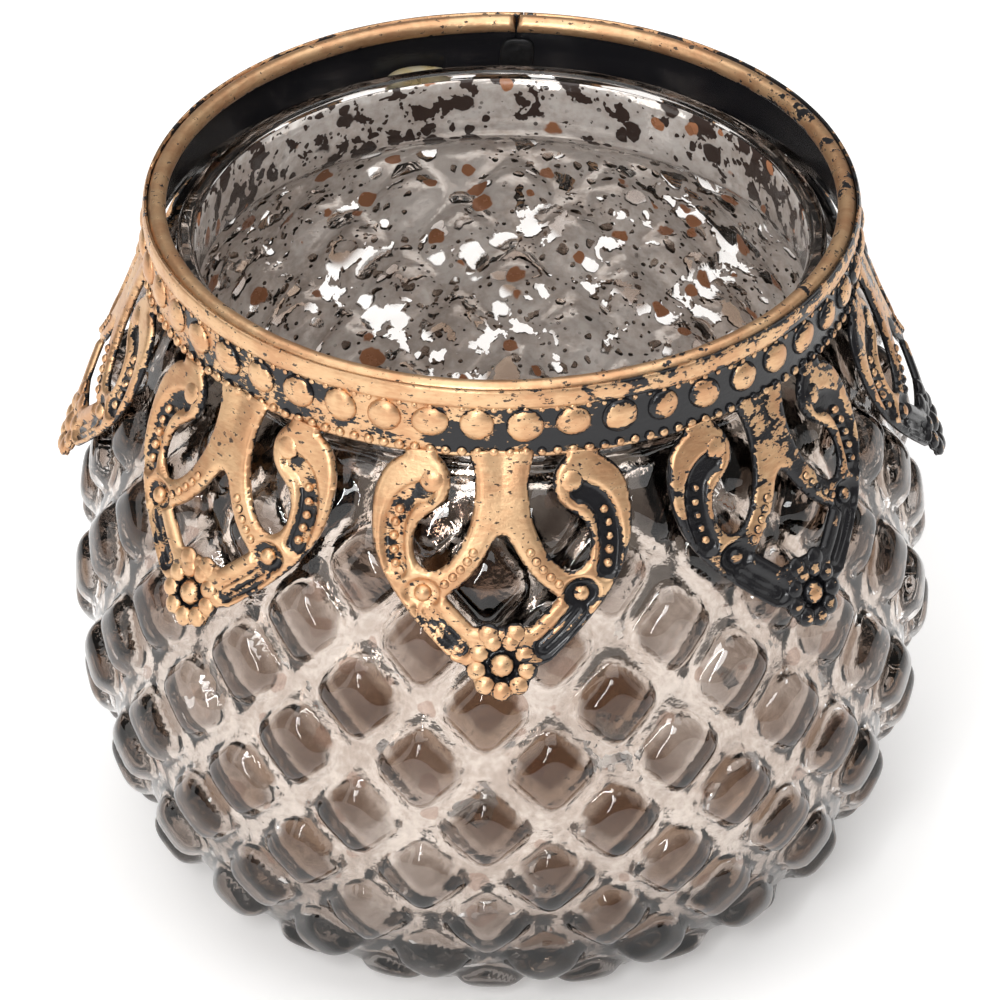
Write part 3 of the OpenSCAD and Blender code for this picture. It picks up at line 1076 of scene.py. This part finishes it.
def spread(line, count, first, last):
    """Points spaced evenly along a line, between two shares of its length."""
    line = np.array(line)
    s = np.concatenate([[0], np.cumsum(lengths(np.diff(line, axis=0)))])
    at = np.linspace(first, last, count) * s[-1]
    return np.c_[np.interp(at, s, line[:, 0]), np.interp(at, s, line[:, 1])]


def both_halves(half):
    return half + [(-u, v) for u, v in reversed(half)]


KNOB = (0.61, 0.565)  # where the crescents end
VOLUTE = (0.53, 0.10)  # the eye of each curl
ROSETTE_RADIUS = 3.6 * MM
PETALS = 9
PETAL_RING = 2.6 * MM


def mirrored(points):
    """The points, with those of the left half moved to the right half."""
    return np.c_[abs(points[:, 0]), points[:, 1]]


def sheet_edge(points, c):
    """Signed distance to the pendant's edge and openings, negative in the metal."""
    right = mirrored(points)
    shield = signed(points, sized(both_halves(OUTER_EDGE), c))
    side = signed(right, sized(SIDE_OPENING, c))
    centre = signed(points, sized(both_halves(CENTRE_OPENING), c))
    from_rosette = points - [0, c.drop - ROSETTE_RADIUS]
    turn = np.arctan2(from_rosette[:, 0], from_rosette[:, 1])
    lobes = ROSETTE_RADIUS * (0.90 + 0.10 * abs(np.cos(turn * PETALS / 2)))
    rosette = lengths(from_rosette) - lobes
    return np.maximum(np.minimum(shield, rosette), np.maximum(-side, -centre))


def stamped_height(points, edge, c):
    """Height of the stamped pattern, from 0 in the recesses to 1 on the ridges."""
    right = mirrored(points)
    pearls = away_from(right, sized(PEARL_LINE, c), False) - 1.12 * MM
    rib_gap = away_from(right, sized(RIB_LINE, c), False)
    ribs = rib_gap - 1.05 * MM
    knob = lengths((right - sized([KNOB], c)[0]) * [0.85, 1]) - 1.55 * MM
    middle = lengths(points - [0, c.drop - ROSETTE_RADIUS])
    ring = abs(middle - 1.65 * MM) - 0.55 * MM
    recess = np.minimum.reduce([pearls, ribs, knob, ring])
    height = eased(clamped(0.5 + recess / (0.6 * MM)))
    border = clamped(-edge / (0.85 * MM))
    height *= 0.25 + 0.75 * np.sqrt(1 - (1 - border) ** 2)
    stem = clamped(1 - right[:, 0] / (1.9 * MM)) * clamped(1 - right[:, 1] / (0.27 * c.drop))
    height -= 0.35 * eased(stem)
    bars = clamped(1 - abs(rib_gap - 0.42 * MM) / (0.26 * MM))
    bars *= 0.45 + 0.25 * np.sin(right[:, 1] / (0.55 * MM) + points[:, 0] / (0.9 * MM))
    return clamped(height + bars)


def lean_of(c):
    reach = -DROP_BOX[0][1] - (c.hoop_radius + c.sheet)
    return math.atan2(reach, DROP_BOX[1][2] - DROP_BOX[0][2])


def on_pendant(flat, height, turn, c):
    """Places flat points (sideways, down) on the leaning cone, raised by height."""
    lean = lean_of(c)
    u, v = flat[:, 0], flat[:, 1]
    base = c.hoop_radius
    t = np.zeros(len(u))
    for _ in range(8):
        cone = base + (v * math.cos(lean) - t * math.sin(lean)) * math.tan(lean)
        t = (np.sqrt(cone**2 - u**2) - base - v * math.sin(lean)) / math.cos(lean)
    away = base + v * math.sin(lean) + t * math.cos(lean)
    z = c.band_foot - v * math.cos(lean) + t * math.sin(lean)
    angle = np.arctan2(u, away)
    out = np.c_[
        np.sin(angle) * math.cos(lean),
        -np.cos(angle) * math.cos(lean),
        np.full(len(u), math.sin(lean)),
    ]
    places = np.c_[u, -away, z] + out * np.asarray(height)[:, None]
    spin = np.array(
        [[math.cos(turn), -math.sin(turn), 0], [math.sin(turn), math.cos(turn), 0], [0, 0, 1]]
    )
    return places @ spin.T, out @ spin.T


SHEET_STEP = 0.24 * MM


def pendant_sheet(c):
    """The stamped sheet, flat: points, cells and stamped height. Points near the edge are
    moved onto it."""
    step = SHEET_STEP
    wide = int(c.half_width / step) + 3
    us = np.arange(-wide, wide + 1) * step
    vs = np.arange(-0.6 * MM, c.drop + 3 * step, step)
    grid = np.stack(np.meshgrid(us, vs), -1).reshape(-1, 2)
    edge = sheet_edge(grid, c)
    probe = 0.02 * MM
    slope = np.c_[
        sheet_edge(grid + [probe, 0], c) - edge, sheet_edge(grid + [0, probe], c) - edge
    ] / probe
    slope /= np.maximum(lengths(slope), 1e-6)[:, None]
    near = abs(edge) < 0.6 * step
    grid[near] -= slope[near] * edge[near][:, None]
    solid = edge < 0.6 * step
    height = stamped_height(grid, np.minimum(sheet_edge(grid, c), 0), c)
    cells = []
    n = len(us)
    for row in range(len(vs) - 1):
        for col in range(n - 1):
            corners = [
                row * n + col, row * n + col + 1, (row + 1) * n + col + 1, (row + 1) * n + col
            ]
            kept = [k for k in corners if solid[k]]
            if len(kept) >= 3:
                cells.append(kept)
    used = sorted({k for cell in cells for k in cell})
    new = {k: i for i, k in enumerate(used)}
    return grid[used], [[new[k] for k in cell] for cell in cells], height[used]


def boundary(cells):
    """Edges that belong to one cell, in its direction."""
    seen = {}
    for cell in cells:
        for a, b in zip(cell, cell[1:] + cell[:1]):
            seen[(a, b)] = True
    return [(a, b) for a, b in seen if (b, a) not in seen]


class HOLDER_OT_pendants(Operator):
    """Make the eight stamped pendants with their pearls and rosettes"""

    bl_idname = "holder.pendants"
    bl_label = "Pendants"

    def execute(self, context):
        c = context.scene.holder_collar
        copper = shared(antiqued_copper_material)
        flat, cells, height = pendant_sheet(c)
        edges = boundary(cells)
        count = len(flat)
        faces = [tuple(reversed(cell)) for cell in cells]
        faces += [tuple(k + count for k in cell) for cell in cells]
        faces += [(a, b, b + count, a + count) for a, b in edges]
        studs = self.stud_layout(c)
        for i, node in enumerate(PENDANT_NODES):
            turn = TAU * i / c.pendants
            front, _ = on_pendant(flat, c.sheet + height * c.relief, turn, c)
            back, _ = on_pendant(flat, height * c.relief * 0.8, turn, c)
            relief = np.concatenate([0.12 + height * 0.9, np.full(count, 0.1)])
            piece = make_mesh(
                f"stamped_{node}", np.concatenate([front, back]), faces, {"relief": relief}
            )
            hand_over(piece, "antiqued_copper", node, material=copper)
        places, outs, sizes = [], [], []
        for i in range(c.pendants):
            spots, out = on_pendant(studs[:, :2], c.sheet + studs[:, 2], TAU * i / c.pendants, c)
            places.append(spots)
            outs.append(out)
            sizes.append(studs[:, [3, 3, 4]])
        pearls = stud_points(
            "pendant_pearls", np.concatenate(places), np.concatenate(outs), np.concatenate(sizes)
        )
        baked(pearls, stud_tree(copper), Segments=12, Rings=7)
        drop_attributes(pearls, "out", "size")
        hand_over(pearls, "antiqued_copper")
        return {"FINISHED"}

    def stud_layout(self, c):
        """Rows of (sideways, down, height of the centre, radius, depth) in metres."""
        rows = []

        def pair(place, *sizes):
            rows.extend((side * place[0], place[1], *(v * MM for v in sizes)) for side in (1, -1))

        for place in spread(sized(PEARL_LINE, c), 5, 0.34, 0.95):
            pair(place, 0, 0.52, 0.6)
        for place in spread(sized(LEG_LINE, c), 5, 0.1, 1):
            pair(place, 0.55, 0.50, 0.42)
        pair(sized([KNOB], c)[0], 0, 0.95, 0.8)
        pair(sized([VOLUTE], c)[0], 0.36, 1.35, 0.48)
        centre = c.drop - ROSETTE_RADIUS
        rows += [(0, centre, 0, 1.38 * MM, 1.1 * MM)]
        for a in TAU * np.arange(PETALS) / PETALS:
            across, down = PETAL_RING * math.sin(a), centre + PETAL_RING * math.cos(a)
            rows += [(across, down, 0.3 * MM, 1.1 * MM, 0.6 * MM)]
        pair((1.3 * MM, 0.727 * c.drop), 0.35, 1.2, 0.5)
        return np.array(rows)


# Solder and glue.


def pad(name, low_r, high_r, low_z, high_z, angle, arc, seed, squareness=3.0):
    """A rounded, slightly lumpy pad in a box of the ring: radii, heights and an arc."""
    chance = np.random.default_rng(seed)
    shifts = chance.uniform(0, TAU, 6)
    rows, columns = 15, 28
    points = []
    for i in range(rows + 1):
        p = math.pi * i / rows - math.pi / 2
        for j in range(columns if 0 < i < rows else 1):
            q = TAU * j / columns
            shape = np.array([math.cos(p) * math.cos(q), math.cos(p) * math.sin(q), math.sin(p)])
            shape = np.sign(shape) * abs(shape) ** (2 / squareness)
            lump = 1 - 0.10 * (
                1 + math.sin(3 * q + shifts[0]) * math.cos(p) * math.sin(2 * p + shifts[1])
            )
            r = (low_r + high_r) / 2 + (high_r - low_r) / 2 * shape[0]
            a = angle + arc / 2 * shape[1] * lump
            z = (low_z + high_z) / 2 + (high_z - low_z) / 2 * shape[2] * lump
            points.append((r * math.cos(a), r * math.sin(a), z))
    ring = lambda i: [0] * columns if i == 0 else [
        1 + (i - 1) * columns + j for j in range(columns)
    ]
    rings = [ring(i) for i in range(rows)] + [[len(points) - 1] * columns]
    faces = []
    for low, high in zip(rings[:-1], rings[1:]):
        for j in range(columns):
            n = (j + 1) % columns
            quad = list(dict.fromkeys((low[j], low[n], high[n], high[j])))
            faces.append(tuple(quad))
    return make_mesh(name, points, faces)


def join(objects, name):
    """One object from several, at the origin."""
    points, faces = [], []
    for obj in objects:
        first = len(points)
        points += [tuple(v.co) for v in obj.data.vertices]
        faces += [tuple(first + k for k in f.vertices) for f in obj.data.polygons]
        bpy.data.objects.remove(obj)
    return make_mesh(name, points, faces)


class HOLDER_OT_solder(Operator):
    """Make the solder behind the seam and the tacks under the hoop"""

    bl_idname = "holder.solder"
    bl_label = "Solder"

    def execute(self, context):
        c = context.scene.holder_collar
        solder = shared(solder_material)
        inner = c.hoop_radius - c.sheet
        low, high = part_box("hoop_seam_solder")
        patch = pad(
            "seam_solder",
            inner - 0.5 * MM,
            inner + 0.05 * MM,
            low[2],
            high[2],
            seam_angle(c),
            4 * MM / inner,
            4,
        )
        hand_over(patch, "soft_solder", "hoop_seam_solder", material=solder)
        low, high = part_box("band_solder_tacks")
        tacks = []
        for i in range(c.pendants):
            angle = -math.pi / 2 + TAU * (i + 0.5) / c.pendants
            tacks.append(
                pad(
                    f"tack_{i}",
                    inner,
                    c.hoop_radius + 0.05 * MM,
                    low[2],
                    high[2],
                    angle,
                    4 * MM / inner,
                    20 + i,
                )
            )
        tacks = join(tacks, "strip_solder_tacks")
        hand_over(tacks, "soft_solder", "band_solder_tacks", material=solder)
        return {"FINISHED"}


class HOLDER_OT_glue(Operator):
    """Make the dabs of glue between the hoop and the neck"""

    bl_idname = "holder.glue"
    bl_label = "Glue dabs"

    def execute(self, context):
        g, c = context.scene.holder_glass, context.scene.holder_collar
        glue = shared(glue_material)
        inner, outer = g.mouth_radius + g.neck_wall, c.hoop_radius - c.sheet
        for i in range(1, 5):
            low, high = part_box(f"glue_dab_{i}")
            angle = math.atan2(low[1] + high[1], low[0] + high[0])
            dab = pad(
                f"glue_{i}",
                inner - 0.02 * MM,
                outer + 0.02 * MM,
                low[2],
                high[2],
                angle,
                8.5 * MM / outer,
                40 + i,
                2.4,
            )
            hand_over(dab, "clear_glue", f"glue_dab_{i}", material=glue)
        return {"FINISHED"}


# Stage.


WHITE = (1, 1, 1)
WARM = (1, 0.97, 0.94)
# Each lamp's name, place and size in metres, power in watts and colour.
SOFT_LIGHTS = (
    ("softbox_top", (0, -0.05, 1.0), (1.3, 1.3), 10, WHITE),
    ("softbox_left", (-0.80, -0.45, 0.40), (0.35, 0.9), 1.6, WARM),
    ("softbox_right", (0.85, -0.05, 0.45), (0.30, 0.8), 0.5, WARM),
    ("strip_front", (-0.30, -0.95, 0.55), (0.04, 0.8), 3.6, WHITE),
    ("softbox_front", (-0.15, -0.9, 0.75), (0.32, 0.26), 3.0, WHITE),
)
LIT_POINT = (0, 0, 40 * MM)
ROOM_COLOUR = (0.87, 0.82, 0.775, 1)
ROOM_LIGHT = 0.24
TABLE_HALF = 2.0
TABLE_TOP = -0.05 * MM  # clear of the foot, so that the two faces never share a plane


class StageSizes(PropertyGroup):
    elevation: FloatProperty(
        name="Elevation",
        description="Camera above the horizon",
        default=math.radians(33.7),
        subtype="ANGLE",
    )
    distance: length("Distance", "Camera from the middle of the holder", 1.0345)
    lens: FloatProperty(
        name="Lens", description="Focal length in millimetres", default=353.2, min=10
    )
    aim_side: length("Aim sideways", "Sideways offset of the camera", -0.18 * MM)
    aim_height: length("Aim height", "Height that the camera looks at", 40.9 * MM)


def soft_light(name, place, size, power, tint):
    data = bpy.data.lights.new(name, "AREA")
    data.shape, data.size, data.size_y = "RECTANGLE", size[0], size[1]
    data.energy, data.color = power, tint
    lamp = bpy.data.objects.new(name, data)
    lamp.location = place
    lamp.rotation_euler = (Vector(LIT_POINT) - Vector(place)).to_track_quat("-Z", "Y").to_euler()
    bpy.context.scene.collection.objects.link(lamp)


class HOLDER_OT_stage(Operator):
    """Make the table top, the studio light and the camera"""

    bl_idname = "holder.stage"
    bl_label = "Stage"

    def execute(self, context):
        s = context.scene.holder_stage
        sides = ((-1, -1), (1, -1), (1, 1), (-1, 1))
        corners = [(x * TABLE_HALF, y * TABLE_HALF, TABLE_TOP) for x, y in sides]
        table = make_mesh("table_top", corners, [(0, 1, 2, 3)], smooth=False)
        painted(table, shared(floor_material))
        table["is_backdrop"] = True
        world = bpy.data.worlds.new("studio")
        context.scene.world = world
        world.use_nodes = True
        background = next(n for n in world.node_tree.nodes if n.type == "BACKGROUND")
        background.inputs["Color"].default_value = ROOM_COLOUR
        background.inputs["Strength"].default_value = ROOM_LIGHT
        for lamp in SOFT_LIGHTS:
            soft_light(*lamp)
        camera = bpy.data.objects.new("camera", bpy.data.cameras.new("camera"))
        camera.data.lens, camera.data.sensor_width = s.lens, 36.0
        camera.data.clip_start, camera.data.clip_end = 0.05, 20
        aim = Vector((s.aim_side, 0, s.aim_height))
        back = Vector((0, -math.cos(s.elevation), math.sin(s.elevation)))
        camera.location = aim + back * s.distance
        camera.rotation_euler = (-back).to_track_quat("-Z", "Y").to_euler()
        context.scene.collection.objects.link(camera)
        context.scene.camera = camera
        context.scene.view_settings.view_transform = "Standard"
        return {"FINISHED"}


OPERATORS = (
    HOLDER_OT_stage,
    HOLDER_OT_glass,
    HOLDER_OT_lining,
    HOLDER_OT_hoop,
    HOLDER_OT_band,
    HOLDER_OT_pendants,
    HOLDER_OT_solder,
    HOLDER_OT_glue,
)
GROUPS = {
    "holder_glass": GlassSizes,
    "holder_collar": CollarSizes,
    "holder_colours": FinishColours,
    "holder_stage": StageSizes,
}


class HOLDER_PT_pieces(Panel):
    """Lists the pieces of the holder and their sizes"""

    bl_idname = "HOLDER_PT_pieces"
    bl_label = "Tealight holder"
    bl_space_type = "VIEW_3D"
    bl_region_type = "UI"
    bl_category = "Holder"

    def draw(self, context):
        for operator in OPERATORS:
            self.layout.operator(operator.bl_idname)
        for key in GROUPS:
            group = getattr(context.scene, key)
            for name in group.__annotations__:
                self.layout.prop(group, name)


def register():
    for kind in (*GROUPS.values(), *OPERATORS, HOLDER_PT_pieces):
        bpy.utils.register_class(kind)
    for key, kind in GROUPS.items():
        setattr(bpy.types.Scene, key, PointerProperty(type=kind))


def unregister():
    for key in GROUPS:
        delattr(bpy.types.Scene, key)
    for kind in reversed((*GROUPS.values(), *OPERATORS, HOLDER_PT_pieces)):
        bpy.utils.unregister_class(kind)


def main():
    register()
    for operator in OPERATORS:
        getattr(bpy.ops.holder, operator.bl_idname.split(".")[1])()
    sizes = {"cad": [list(v) for v in CAD_BOX], "visual": [list(v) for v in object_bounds()]}


if __name__ == "__main__":
    main()
